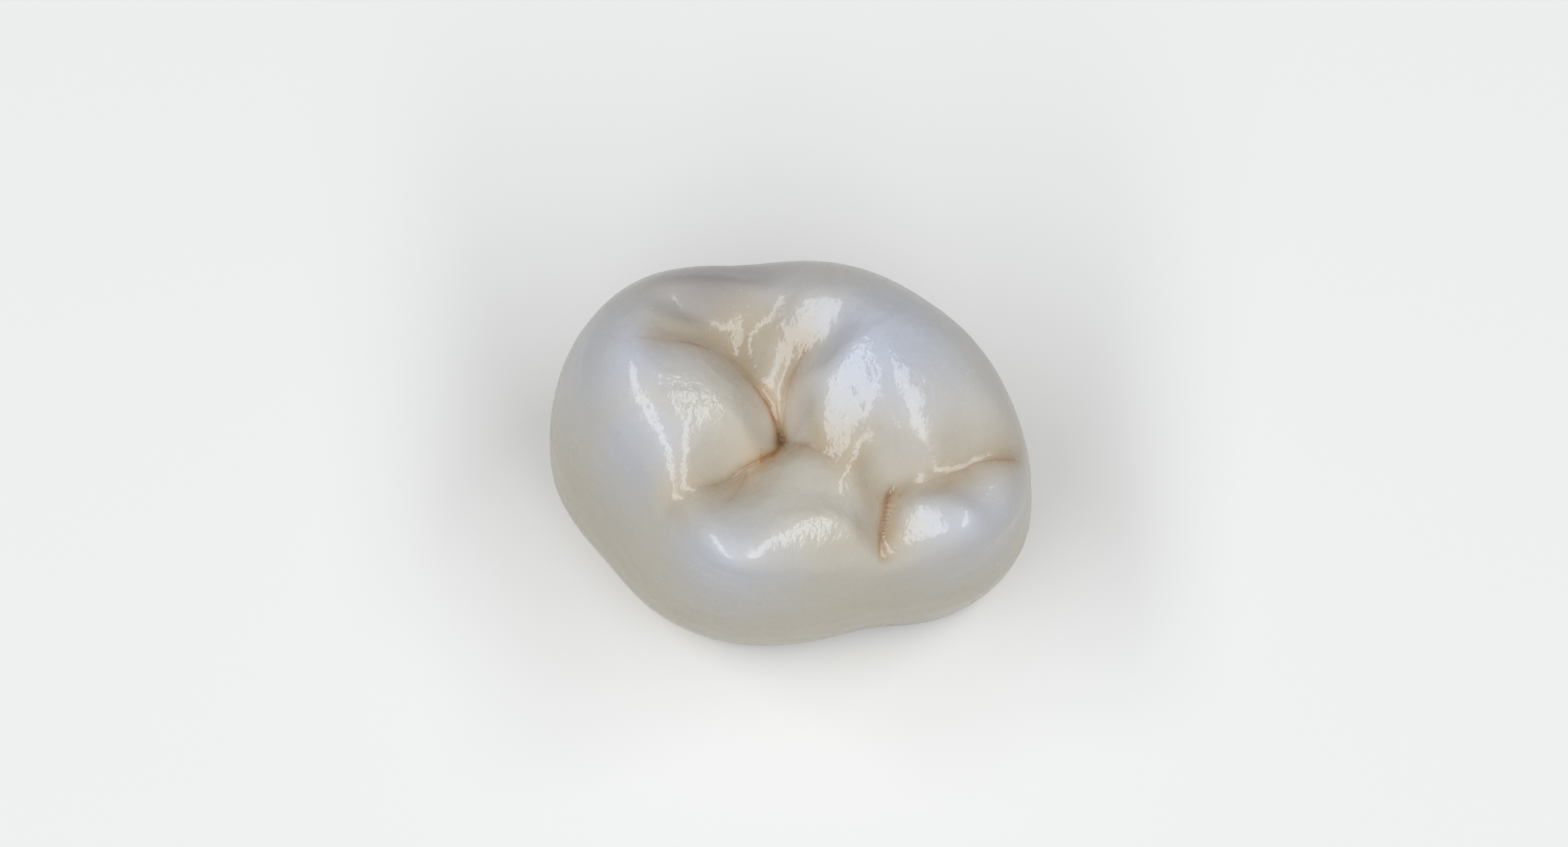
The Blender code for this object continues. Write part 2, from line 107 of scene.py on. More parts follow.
# broad grooves between the lobes: points, depth at each end, reach of each bank, breadth of the floor
grooves = {
    "mesial": (((-0.074, -0.120), (-0.074, -0.014), (-0.092, 0.120), (-0.135, 0.245), (-0.180, 0.340),
                (-0.225, 0.405), (-0.310, 0.455), (-0.420, 0.500)), 1.25, 0.50, 1.2, 0.30),
    "mesiolingual": (((-0.074, -0.120), (-0.044, 0.010), (0.000, 0.110), (0.070, 0.190), (0.120, 0.240)),
                     1.10, 0.30, 1.0, 0.25),
    "buccal": (((-0.074, -0.120), (-0.130, -0.205), (-0.205, -0.250), (-0.290, -0.262), (-0.415, -0.305),
                (-0.510, -0.330), (-0.620, -0.352), (-0.725, -0.400), (-0.815, -0.480)),
               1.25, 0.60, 1.3, 0.20),
    "transverse": (((-0.074, -0.120), (0.010, -0.230), (0.085, -0.330), (0.190, -0.450)),
                   0.90, 0.10, 1.0, 0.30),
    "oblique": (((0.190, -0.450), (0.270, -0.520), (0.322, -0.556)), 0.10, 1.20, 0.9, 0.35),
    "distal": (((0.322, -0.556), (0.281, -0.603), (0.235, -0.715), (0.185, -0.848), (0.130, -0.960)),
               1.45, 1.40, 1.2, 0.12),
    "foot": (((0.130, -0.965), (0.050, -0.975), (-0.030, -0.975)), 1.20, 0.40, 0.8, 0.20),
    "distolingual": (((0.322, -0.556), (0.470, -0.600), (0.616, -0.590), (0.738, -0.558), (0.890, -0.555)),
                     1.30, 1.00, 1.4, 0.35),
}

# broad facets on the cusps: place, slope to +X and +Y, half width, half depth, bulge, strength
facets = (
    (0.160, 0.330, 0.37, 0.12, 1.15, 1.00, 0.05, 0.90),
    (0.320, -0.030, 0.36, 0.12, 0.75, 1.00, 0.07, 0.85),
    (0.140, -0.200, 0.36, 0.15, 0.75, 0.70, 0.10, 0.80),
    (0.420, -0.920, 0.43, 0.26, 1.25, 0.95, 0.04, 0.95),
    (-0.060, -0.860, -0.22, 0.36, 1.40, 1.05, 0.04, 0.95),
    (-0.150, 0.620, 0.10, 0.30, 1.50, 0.70, 0.02, 0.90),
)

# shallow hollows: place, depth, radius
fossae = ((-0.048, -0.110, 0.55, 0.80), (-0.090, 0.380, 0.60, 0.90), (0.316, -0.540, 0.45, 0.80),
          (0.147, -0.860, 0.25, 0.60), (-0.330, -0.300, 0.45, 0.75))

# stained fissure lines: points, then depth of colour at each end
stainLines = {
    "mesialFar": (((-0.560, 0.470), (-0.450, 0.440), (-0.336, 0.402)), 0.10, 0.35),
    "mesial": (((-0.336, 0.402), (-0.208, 0.330), (-0.165, 0.241), (-0.111, 0.095), (-0.085, 0.021)),
               0.35, 0.70),
    "pitTop": (((-0.085, 0.021), (-0.078, -0.059), (-0.076, -0.118)), 0.80, 1.0),
    "pit": (((-0.076, -0.118), (-0.116, -0.194), (-0.201, -0.240)), 1.0, 0.90),
    "buccal": (((-0.201, -0.240), (-0.273, -0.251), (-0.415, -0.309), (-0.560, -0.335)), 0.55, 0.10),
    "smear": (((-0.282, -0.286), (-0.346, -0.380), (-0.426, -0.470)), 0.30, 0.08),
    "short": (((-0.069, -0.127), (-0.024, -0.200), (0.020, -0.290), (0.100, -0.400)), 0.70, 0.05),
    "second": (((-0.066, -0.093), (-0.031, -0.030), (0.009, 0.060), (0.064, 0.140), (0.120, 0.210)),
               0.30, 0.28),
    "distalTop": (((0.322, -0.535), (0.305, -0.560), (0.279, -0.603)), 0.0, 0.55),
    "distal": (((0.279, -0.603), (0.231, -0.715), (0.179, -0.848), (0.130, -0.970)), 0.55, 0.35),
    "distolingual": (((0.380, -0.575), (0.471, -0.610), (0.600, -0.610), (0.695, -0.585), (0.791, -0.590),
                      (0.877, -0.600)), 0.0, 0.42),
}

# how far colour reaches from a line or valley, and the upward share of the normal where the biting
# face starts and where it counts in full
maskReach = {"stainGlow": 0.28, "stainFade": 0.22, "valley": 0.60, "valleyShare": 0.65, "lilacLoss": 0.8,
             "tableFacing": (0.45, 0.75), "farAway": 9.0}

# soft tints of the body, the grey on the front ridge and the olive in the hollows darkened partly as painted
# shade, and spots of uneven glaze: place, radius, how much
# the grey spots on the front ridge are painted shade where the ridge is weakly lit, partly its own greyer
# translucence
ridgeShadeTints = ((-0.150, 0.740, 1.50, 0.75), (-0.300, 0.560, 0.80, 0.35))
oliveTints = ((-0.080, 0.380, 1.00, 0.75), (-0.050, -0.100, 1.00, 0.55), (0.250, -0.480, 1.10, 0.60),
              (0.620, -0.590, 1.00, 0.55), (-0.330, -0.330, 0.80, 0.45), (0.200, -0.830, 0.70, 0.55))
lilacTints = ((0.420, 0.050, 2.50, 0.95), (0.600, -0.780, 2.00, 0.90), (-0.640, 0.450, 1.80, 0.85),
              (-0.700, -0.020, 1.30, 0.75), (-0.620, -0.860, 2.00, 0.90), (0.150, 0.620, 1.20, 0.45))
hammeredSpots = ((-0.060, -0.830, 1.50, 1.0), (-0.430, 0.080, 1.20, 0.9), (0.300, 0.120, 1.30, 0.40),
                 (-0.570, -0.220, 0.60, 0.8), (0.140, -0.430, 0.70, 0.9), (-0.120, 0.380, 0.90, 0.7))


def lobedReach(angle):
    # the outline is a soft union of four round lobes
    total = 0.0
    for x, y, radius in crownForm["lobes"]:
        along = x * np.cos(angle) + y * np.sin(angle)
        across = x * np.sin(angle) - y * np.cos(angle)
        reach = along + np.sqrt(np.maximum(radius ** 2 - across ** 2, 0.001))
        total = total + np.exp(crownForm["lobeBlend"] * reach)
    return np.log(total) / crownForm["lobeBlend"]


halfX, halfY = 0.5 * crownForm["width"], 0.5 * crownForm["depth"]
allRound = np.linspace(0.0, 2.0 * math.pi, 720, endpoint=False)
fitX = crownForm["width"] / np.ptp(lobedReach(allRound) * np.cos(allRound))
fitY = crownForm["depth"] / np.ptp(lobedReach(allRound) * np.sin(allRound))


def aroundValue(turn, values):
    buccal, lingual, mesial, distal = values
    cos, sin = np.cos(turn), np.sin(turn)
    return np.where(cos < 0.0, buccal, lingual) * cos ** 2 + np.where(sin < 0.0, distal, mesial) * sin ** 2


def marginHeight(turn):
    start = crownForm["marginRiseFrom"]
    step = np.clip((np.abs(np.sin(turn)) - start) / (1.0 - start), 0.0, 1.0)
    return crownForm["marginRise"] * step * step * (3.0 - 2.0 * step)


def wallRadius(turn, z):
    x, y = np.cos(turn), np.sin(turn)
    reach = lobedReach(np.arctan2(y / fitY, x / fitX)) / np.hypot(x / fitX, y / fitY)
    contour = aroundValue(turn, crownForm["contour"])
    lean = aroundValue(turn, crownForm["lean"])
    for direction, amount in crownForm["fuller"]:
        away = (np.degrees(turn) - direction + 180.0) % 360.0 - 180.0
        lean = lean - amount * np.exp(-(away / crownForm["fullerSpread"]) ** 2)
    below = np.clip((contour - z) / contour, 0.0, 1.4)
    above = np.clip((z - contour) / (crownForm["height"] + crownForm["wallsClose"] - contour), 0.0, 0.995)
    taper = aroundValue(turn, crownForm["neckTaper"])
    return reach - taper * below ** 2 - lean * (1.0 - np.sqrt(1.0 - above ** 2))


def smoothPath(points):
    points = np.array(points, float)
    padded = np.vstack([2.0 * points[0] - points[1], points, 2.0 * points[-1] - points[-2]])
    steps = np.linspace(0.0, 1.0, 8, endpoint=False)[:, None]
    path = []
    for a, b, c, d in zip(padded, padded[1:], padded[2:], padded[3:]):
        path.append(0.5 * (2.0 * b + (c - a) * steps + (2.0 * a - 5.0 * b + 4.0 * c - d) * steps ** 2
                           + (3.0 * b - a - 3.0 * c + d) * steps ** 3))
    return np.vstack(path + [points[-1:]])


def placeOnStep(x, y, start, end):
    # how far along the step its nearest place lies, the squared distance to it, and the side of the step
    run = end - start
    px, py = x - start[0], y - start[1]
    share = np.clip((px * run[0] + py * run[1]) / (run[0] ** 2 + run[1] ** 2 + 1e-12), 0.0, 1.0)
    squared = (px - share * run[0]) ** 2 + (py - share * run[1]) ** 2
    return share, squared, np.sign(px * run[1] - py * run[0])


def nearestOnPath(x, y, path):
    # squared distance, signed side and the third value at the nearest place on the path
    best = np.full(x.shape, 1e9)
    side, value = np.zeros(x.shape), np.zeros(x.shape)
    for start, end in zip(path[:-1], path[1:]):
        share, squared, hand = placeOnStep(x, y, start, end)
        closer = squared < best
        best = np.where(closer, squared, best)
        side = np.where(closer, hand, side)
        value = np.where(closer, start[2] + share * (end[2] - start[2]), value)
    return best, side, value


def crestSide(x, y, path, fall, back):
    # the highest side that any step of the crest offers
    best = np.full(x.shape, -1e9)
    for start, end in zip(path[:-1], path[1:]):
        share, squared, _ = placeOnStep(x, y, start, end)
        ridge = start[2] + share * (end[2] - start[2])
        best = np.maximum(best, ridge - fall * (np.sqrt(squared + back ** 2) - back))
    return best


def groovedHeight(x, y):
    blend = crownForm["crestBlend"]
    total = np.full(x.shape, math.exp(blend * (cuspHeights["pit"] - crownForm["floorBelowPit"])))
    for names, fall, back in crests:
        spots = [crestPoints[name] for name in names.split()]
        path = smoothPath([(px * halfX, py * halfY, cuspHeights[base] + rise)
                           for px, py, base, rise in spots])
        total = total + np.exp(blend * crestSide(x, y, path, fall, back))
    height = np.log(total) / blend
    for fx, fy, depth, radius in fossae:
        squared = (x - fx * halfX) ** 2 + (y - fy * halfY) ** 2
        height = height - depth * np.exp(-squared / radius ** 2)
    cut = 0.0
    for spots, startDepth, endDepth, bank, floor in grooves.values():
        depths = np.linspace(startDepth, endDepth, len(spots))
        path = smoothPath([(px * halfX, py * halfY, depth) for (px, py), depth in zip(spots, depths)])
        squared, _, depth = nearestOnPath(x, y, path)
        near = np.clip(1.0 - (np.sqrt(squared + floor ** 2) - floor) / bank, 0.0, 1.0)
        cut = cut + (depth * (1.0 - np.sqrt(1.0 - crownForm["bankRoundness"] * near ** 2))) ** 4
    return height - cut ** 0.25


def tableHeight(x, y):
    height = groovedHeight(x, y)
    level, rise = crownForm["facetAxis"]
    for px, py, slopeX, slopeY, across, along, roundness, strength in facets:
        dx, dy = x - px * halfX, y - py * halfY
        u, v = level * dx - rise * dy, rise * dx + level * dy
        middle = groovedHeight(np.array([px * halfX]), np.array([py * halfY]))
        plane = middle + slopeX * dx + slopeY * dy - roundness * (u * u + v * v)
        window = strength * np.exp(-((u / across) ** 2 + (v / along) ** 2) ** 2)
        height = height + window * (plane - height)
    return height


print("crown: working out the biting surface")
gridStep, gridHalfX, gridHalfY = 0.03, 6.3, 5.7
gridX = np.arange(-gridHalfX, gridHalfX + gridStep, gridStep)
gridY = np.arange(-gridHalfY, gridHalfY + gridStep, gridStep)
tableGrid = tableHeight(*np.meshgrid(gridX, gridY))


def gridHeight(x, y):
    column = np.clip((x - gridX[0]) / gridStep, 0.0, len(gridX) - 1.001)
    row = np.clip((y - gridY[0]) / gridStep, 0.0, len(gridY) - 1.001)
    i, j = column.astype(int), row.astype(int)
    u, v = column - i, row - j
    low = tableGrid[j, i] * (1.0 - u) + tableGrid[j, i + 1] * u
    high = tableGrid[j + 1, i] * (1.0 - u) + tableGrid[j + 1, i + 1] * u
    return low * (1.0 - v) + high * v


def outside(x, y, z):
    # above zero outside the crown, with the rim between wall and biting face rounded
    rounding = crownForm["rimRounding"]
    wall = np.hypot(x, y) - wallRadius(np.arctan2(y, x), z)
    top = z - gridHeight(x, y)
    near = np.clip(rounding - np.abs(wall - top), 0.0, None) / rounding
    return np.maximum(wall, top) + near ** 2 * rounding * 0.25


def outerPoints(turn, tilt):
    dx, dy, dz = np.sin(tilt) * np.cos(turn), np.sin(tilt) * np.sin(turn), np.cos(tilt)
    near, far = (np.full(turn.shape, reach) for reach in crownForm["rayReach"])
    for _ in range(crownForm["rayHalvings"]):
        middle = 0.5 * (near + far)
        out = outside(dx * middle, dy * middle, crownForm["rayHeight"] + dz * middle) > 0.0
        near, far = np.where(out, near, middle), np.where(out, middle, far)
    return np.stack([dx * near, dy * near, crownForm["rayHeight"] + dz * near], -1)


def ringTurns(count):
    return np.linspace(0.0, 2.0 * math.pi, count, endpoint=False)


def outerRings():
    edge, segments = crownForm["tableTilt"], crownForm["segments"]
    turns, tilts = [np.zeros(1)], [np.zeros(1)]
    for index, share in enumerate(np.linspace(0.0, 1.0, crownForm["tableRings"] + 1)[1:]):
        count = segments // next((thin for limit, thin in crownForm["thinning"] if index < limit), 1)
        turns.append(ringTurns(count))
        tilts.append(np.full(count, edge * share))
    turn = ringTurns(segments)
    footZ = marginHeight(turn)
    footRadius = wallRadius(turn, footZ)
    last = np.arctan2(footRadius, footZ - crownForm["rayHeight"])
    for share in np.linspace(0.0, 1.0, crownForm["wallRings"] + 1)[1:-1]:
        turns.append(turn)
        tilts.append(edge + (last - edge) * share)
    points = outerPoints(np.concatenate(turns), np.concatenate(tilts))
    rings, start = [], 0
    for part in turns:
        rings.append(points[start:start + len(part)])
        start += len(part)
    foot = np.stack([footRadius * np.cos(turn), footRadius * np.sin(turn), footZ], -1)
    rings[-1] = 0.5 * (rings[-1] + foot)
    return rings + [foot]


def hollowRoof(x):
    # the roof rises to both sides of a soft valley that runs from front to back
    valley = crownForm["hollowValley"]
    rise = crownForm["hollowRise"] * (np.hypot(x / halfX, valley) - valley)
    return cuspHeights["pit"] - crownForm["roofBelowPit"] + rise


def hollowRings():
    segments = crownForm["segments"]
    turn = ringTurns(segments)
    foot = marginHeight(turn)
    rim = wallRadius(turn, foot) - crownForm["shoulder"]
    rings = [np.stack([rim * np.cos(turn), rim * np.sin(turn), foot], -1)]
    turn, foot, rim = turn[::2], foot[::2], rim[::2]
    x, y = np.cos(turn), np.sin(turn)
    slope = math.tan(math.radians(crownForm["hollowTaper"]))
    corner = crownForm["hollowCorner"]
    bend = hollowRoof(rim * x * 0.9) - corner
    for share in np.linspace(0.0, 1.0, crownForm["hollowRings"] + 1)[1:]:
        z = foot + (bend - foot) * share
        radius = rim - (z - foot) * slope
        rings.append(np.stack([radius * x, radius * y, z], -1))
    for angle in np.linspace(0.0, 0.5 * math.pi, crownForm["cornerRings"] + 1)[1:]:
        radius = rim - (bend - foot) * slope - corner * (1.0 - math.cos(angle))
        rings.append(np.stack([radius * x, radius * y, bend + corner * math.sin(angle)], -1))
    last = rings[-1]
    for share, thin in crownForm["roofRings"]:
        px, py = last[::thin, 0] * share, last[::thin, 1] * share
        rings.append(np.stack([px, py, hollowRoof(px)], -1))
    rings.append(np.array([[0.0, 0.0, hollowRoof(0.0)]]))
    return rings


def ringFaces(upper, upperCount, lower, lowerCount):
    # faces between two closed rings, given where each starts and how many points it has
    faces = []
    if upperCount == 1:
        return [(upper, lower + i, lower + (i + 1) % lowerCount) for i in range(lowerCount)]
    ratio = lowerCount // upperCount
    for i in range(upperCount):
        after = (i + 1) % upperCount
        if ratio == 1:
            faces.append((upper + i, lower + i, lower + after, upper + after))
        else:
            left, middle, right = lower + 2 * i, lower + 2 * i + 1, lower + (2 * i + 2) % lowerCount
            faces += [(upper + i, left, middle), (upper + i, middle, upper + after),
                      (upper + after, middle, right)]
    return faces


def buildCrownMesh():
    outer, inner = outerRings(), hollowRings()
    rings = outer + inner
    starts = np.cumsum([0] + [len(ring) for ring in rings])
    faces = []
    for index in range(len(rings) - 1):
        a, b = (starts[index], len(rings[index])), (starts[index + 1], len(rings[index + 1]))
        if a[1] <= b[1] and index < len(outer):
            faces += ringFaces(*a, *b)
        else:
            faces += ringFaces(*b, *a)
    points = np.vstack(rings)
    points[:, 0] -= 0.5 * (points[:, 0].min() + points[:, 0].max())
    points[:, 1] -= 0.5 * (points[:, 1].min() + points[:, 1].max())
    mesh = bpy.data.meshes.new("crown_glazed")
    mesh.from_pydata((points * 0.001).tolist(), [], [tuple(int(v) for v in face) for face in faces])
    merged = bmesh.new()
    merged.from_mesh(mesh)
    bmesh.ops.recalc_face_normals(merged, faces=merged.faces)
    merged.to_mesh(mesh)
    merged.free()
    mesh.update()
    return mesh, points, starts[len(outer)]


def addAttribute(mesh, name, values):
    layer = mesh.attributes.new(name, "FLOAT", "POINT")
    layer.data.foreach_set("value", np.asarray(values, np.float32))


def tintOf(x, y, spots):
    total = np.zeros(x.shape)
    for px, py, radius, amount in spots:
        squared = (x - px * halfX) ** 2 + (y - py * halfY) ** 2
        total = np.maximum(total, amount * np.exp(-squared / radius ** 2))
    return total


def surfaceMasks(mesh, points, innerStart):
    x, y, z = points.T
    side = np.full(len(points), maskReach["farAway"])
    depth = np.zeros(len(points))
    glow = np.zeros(len(points))
    for spots, startDepth, endDepth in stainLines.values():
        depths = np.linspace(startDepth, endDepth, len(spots))
        path = smoothPath([(px * halfX, py * halfY, value) for (px, py), value in zip(spots, depths)])
        squared, sign, value = nearestOnPath(x, y, path)
        away = np.sqrt(squared)
        closer = away < np.abs(side)
        side = np.where(closer, away * np.where(sign < 0.0, -1.0, 1.0), side)
        depth = np.where(closer, value, depth)
        glow = np.maximum(glow, value * np.exp(-squared / maskReach["stainGlow"] ** 2))
    depth = depth * np.exp(-(side / maskReach["stainFade"]) ** 4)
    # warm valleys along the grooves: a real warm tone, its darkness partly painted shade in the hollows
    warm = np.zeros(len(points))
    for spots, *_ in grooves.values():
        path = smoothPath([(px * halfX, py * halfY, 0.0) for px, py in spots])
        squared = nearestOnPath(x, y, path)[0]
        warm = np.maximum(warm, maskReach["valleyShare"] * np.exp(-squared / maskReach["valley"] ** 2))
    outer = np.arange(len(points)) < innerStart
    facing = np.zeros(3 * len(points), np.float32)
    mesh.vertex_normals.foreach_get("vector", facing)
    steep, flat = maskReach["tableFacing"]
    onTable = np.clip((facing[2::3] - steep) / (flat - steep), 0.0, 1.0) * outer
    warm = 1.0 - (1.0 - warm) * (1.0 - tintOf(x, y, oliveTints))
    addAttribute(mesh, "fissureSide", side)
    addAttribute(mesh, "stainDepth", depth * onTable)
    addAttribute(mesh, "stainGlow", glow * onTable)
    addAttribute(mesh, "warmth", warm * onTable)
    addAttribute(mesh, "ridgeShade", tintOf(x, y, ridgeShadeTints) * outer)
    addAttribute(mesh, "lilac", tintOf(x, y, lilacTints) * (1.0 - maskReach["lilacLoss"] * warm) * outer)
    addAttribute(mesh, "hammered", tintOf(x, y, hammeredSpots) * onTable)
    fromFoot = z - marginHeight(np.arctan2(y, x))
    addAttribute(mesh, "footHeight", np.where(outer, fromFoot, maskReach["farAway"]))
    addAttribute(mesh, "table", onTable)
    addAttribute(mesh, "inside", 1.0 - outer)


crownMesh, crownPoints, innerStart = buildCrownMesh()
surfaceMasks(crownMesh, crownPoints, innerStart)
print("crown:", len(crownMesh.vertices), "points,", len(crownMesh.polygons), "faces")

# relief that follows the surface: faint growth lines round the walls, a slow wave, uneven glaze on the cusps
reliefSizes = {
    "Line Spacing": 0.80, "Line Depth": 0.0030, "Line Wander": 0.80, "Wave Size": 1.1, "Wave Depth": 0.030,
    "Hammer Size": 0.42, "Hammer Depth": 0.052, "Hammer Everywhere": 0.15, "Foot Level": 0.4,
    "Full Level": 1.2, "Seed": 4.0,
}


def socketOf(tree, label):
    return next(item.identifier for item in tree.interface.items_tree
                if item.item_type == "SOCKET" and item.in_out == "INPUT" and item.name == label)


def nodeIn(tree, kind, inputs=None, **settings):
    node = tree.nodes.new(kind)
    for key, value in settings.items():
        setattr(node, key, value)
    for key, value in (inputs or {}).items():
        socket = node.inputs[key]
        if isinstance(value, bpy.types.NodeSocket):
            tree.links.new(value, socket)
        else:
            socket.default_value = value
    return node


def mathIn(tree, operation, first, second=None, third=None, clamp=False):
    inputs = {0: first}
    if second is not None:
        inputs[1] = second
    if third is not None:
        inputs[2] = third
    return nodeIn(tree, "ShaderNodeMath", inputs, operation=operation, use_clamp=clamp).outputs[0]


def reliefNoise(tree, place, seed, scale, **settings):
    inputs = {"Vector": place, "W": seed, "Scale": scale, "Detail": 1.0, **settings}
    return nodeIn(tree, "ShaderNodeTexNoise", inputs, noise_dimensions="4D").outputs[0]


def rangeIn(tree, value, low, high):
    return nodeIn(tree, "ShaderNodeMapRange", {0: value, 1: low, 2: high}, clamp=True).outputs[0]


def bellOf(tree, ratio):
    squared = mathIn(tree, "MULTIPLY", ratio, ratio)
    return mathIn(tree, "EXPONENT", mathIn(tree, "MULTIPLY", squared, -1.0))


def surfaceReliefTree(finish):
    tree = bpy.data.node_groups.new("surfaceRelief", "GeometryNodeTree")
    tree.interface.new_socket("Geometry", in_out="INPUT", socket_type="NodeSocketGeometry")
    for label, value in reliefSizes.items():
        tree.interface.new_socket(label, in_out="INPUT", socket_type="NodeSocketFloat").default_value = value
    tree.interface.new_socket("Geometry", in_out="OUTPUT", socket_type="NodeSocketGeometry")
    given = nodeIn(tree, "NodeGroupInput").outputs
    place = nodeIn(tree, "GeometryNodeInputPosition").outputs[0]
    inMm = nodeIn(tree, "ShaderNodeVectorMath", {0: place, "Scale": 1000.0}, operation="SCALE").outputs[0]
    height = nodeIn(tree, "ShaderNodeSeparateXYZ", {0: inMm}).outputs[2]
    table, inside, hammered = (
        nodeIn(tree, "GeometryNodeInputNamedAttribute", {"Name": name}, data_type="FLOAT").outputs[0]
        for name in ("table", "inside", "hammered"))
    drift = reliefNoise(tree, inMm, given["Seed"], 0.9)
    wandered = mathIn(tree, "MULTIPLY_ADD", drift, given["Line Wander"], height)
    turns = mathIn(tree, "DIVIDE", wandered, given["Line Spacing"])
    wave = mathIn(tree, "SINE", mathIn(tree, "MULTIPLY", turns, 2.0 * math.pi))
    wall = mathIn(tree, "SUBTRACT", 1.0, mathIn(tree, "MAXIMUM", table, inside), clamp=True)
    lines = mathIn(tree, "MULTIPLY", mathIn(tree, "MULTIPLY", wave, given["Line Depth"]), wall)
    scale = mathIn(tree, "DIVIDE", 1.0, given["Wave Size"])
    swell = reliefNoise(tree, inMm, given["Seed"], scale, Roughness=0.4)
    slow = mathIn(tree, "MULTIPLY", mathIn(tree, "SUBTRACT", swell, 0.5), given["Wave Depth"])
    patchScale = mathIn(tree, "DIVIDE", 1.0, given["Hammer Size"])
    patches = reliefNoise(tree, inMm, given["Seed"], patchScale, Roughness=0.4)
    patches = mathIn(tree, "MULTIPLY", mathIn(tree, "SUBTRACT", patches, 0.5), given["Hammer Depth"])
    least = given["Hammer Everywhere"]
    uneven = mathIn(tree, "MULTIPLY_ADD", hammered, mathIn(tree, "SUBTRACT", 1.0, least), least)
    slow = mathIn(tree, "MULTIPLY_ADD", patches, mathIn(tree, "MULTIPLY", uneven, table), slow)
    slow = mathIn(tree, "MULTIPLY", slow, mathIn(tree, "SUBTRACT", 1.0, inside, clamp=True))
    share = rangeIn(tree, height, given["Foot Level"], given["Full Level"])
    metres = mathIn(tree, "MULTIPLY", share, 0.001)
    offset = mathIn(tree, "MULTIPLY", mathIn(tree, "ADD", lines, slow), metres)
    facing = nodeIn(tree, "GeometryNodeInputNormal").outputs[0]
    push = nodeIn(tree, "ShaderNodeVectorMath", {0: facing, "Scale": offset}, operation="SCALE").outputs[0]
    shifted = {"Geometry": given["Geometry"], "Offset": push}
    moved = nodeIn(tree, "GeometryNodeSetPosition", shifted).outputs[0]
    whole = nodeIn(tree, "GeometryNodeRealizeInstances", {0: moved}).outputs[0]
    clothed = nodeIn(tree, "GeometryNodeSetMaterial", {"Geometry": whole, "Material": finish}).outputs[0]
    nodeIn(tree, "NodeGroupOutput", {0: clothed})
    return tree


def newGroup(name, inputs, outputs):
    group = bpy.data.node_groups.new(name, "ShaderNodeTree")
    for label, kind, value in inputs:
        socket = group.interface.new_socket(label, in_out="INPUT", socket_type=kind)
        if value is not None:
            socket.default_value = value
    for label, kind in outputs:
        group.interface.new_socket(label, in_out="OUTPUT", socket_type=kind)
    return group, nodeIn(group, "NodeGroupInput").outputs


def noiseIn(tree, place, scale, detail, roughness=0.5):
    inputs = {"Vector": place, "Scale": scale, "Detail": detail, "Roughness": roughness}
    return nodeIn(tree, "ShaderNodeTexNoise", inputs).outputs[0]


def makeStainGroup():
    # a line of colour along a path, ragged at its edges
    number = "NodeSocketFloat"
    group, given = newGroup("stainLine", (
        ("Place", "NodeSocketVector", None), ("Side", number, 0.0), ("Depth", number, 1.0),
        ("Width", number, 0.1), ("Wander", number, 0.03), ("Break Up", number, 0.5),
        ("Grain", number, 8000.0)), (("Mask", number),))
    drift = noiseIn(group, given["Place"], given["Grain"], 3.0)
    shift = mathIn(group, "MULTIPLY", mathIn(group, "SUBTRACT", drift, 0.5), given["Wander"])
    away = mathIn(group, "ABSOLUTE", mathIn(group, "ADD", given["Side"], shift))
    ratio = mathIn(group, "DIVIDE", away, given["Width"])
    fall = bellOf(group, ratio)
    coarse = mathIn(group, "MULTIPLY", given["Grain"], 0.35)
    gaps = rangeIn(group, noiseIn(group, given["Place"], coarse, 4.0, 0.6), 0.65, 0.35)
    share = mathIn(group, "SUBTRACT", 1.0, mathIn(group, "MULTIPLY", given["Break Up"], gaps))
    mask = mathIn(group, "MULTIPLY", mathIn(group, "MULTIPLY", fall, given["Depth"]), share, clamp=True)
    nodeIn(group, "NodeGroupOutput", {"Mask": mask})
    return group


def makeGrainGroup():
    # fine grain that comes and goes in patches
    number = "NodeSocketFloat"
    group, given = newGroup("glazeGrain", (
        ("Place", "NodeSocketVector", None), ("Size", number, 12000.0), ("Patches", number, 900.0),
        ("Smoothness", number, 0.5)), (("Height", number), ("Patch", number)))
    fine = noiseIn(group, given["Place"], given["Size"], 3.0, 0.55)
    broad = noiseIn(group, given["Place"], given["Patches"], 2.0)
    patch = rangeIn(group, broad, given["Smoothness"], 0.75)
    share = mathIn(group, "MULTIPLY_ADD", patch, 0.8, 0.2)
    height = mathIn(group, "MULTIPLY", mathIn(group, "SUBTRACT", fine, 0.5), share)
    nodeIn(group, "NodeGroupOutput", {"Height": height, "Patch": patch})
    return group


def makeSpeckGroup():
    # scattered tiny specks, one in each lit cell
    number = "NodeSocketFloat"
    group, given = newGroup("fineSpecks", (
        ("Place", "NodeSocketVector", None), ("Size", number, 12000.0), ("Share", number, 0.1)),
        (("Mask", number),))
    cells = nodeIn(group, "ShaderNodeTexVoronoi", {"Vector": given["Place"], "Scale": given["Size"]})
    picked = nodeIn(group, "ShaderNodeSeparateColor", {0: cells.outputs["Color"]}).outputs[0]
    lit = mathIn(group, "LESS_THAN", picked, given["Share"])
    spot = rangeIn(group, cells.outputs["Distance"], 0.42, 0.18)
    nodeIn(group, "NodeGroupOutput", {"Mask": mathIn(group, "MULTIPLY", lit, spot)})
    return group


stainLine, glazeGrain, fineSpecks = makeStainGroup(), makeGrainGroup(), makeSpeckGroup()

# the neck, dentine and grey tones are darkened partly as painted shade, and the fleck tone paints glints
ceramicTones = {
    "enamel": (0.685, 0.617, 0.512), "incisal": (0.615, 0.625, 0.690), "dentineAndShade": (0.515, 0.410, 0.270),
    "neckToneAndShade": (0.600, 0.520, 0.380), "band": (0.440, 0.320, 0.175), "ridgeShade": (0.330, 0.285, 0.290),
    "stain": (0.350, 0.140, 0.045), "halo": (0.560, 0.325, 0.140), "etched": (0.640, 0.620, 0.580),
    "paintedGlint": (0.860, 0.850, 0.820),
}

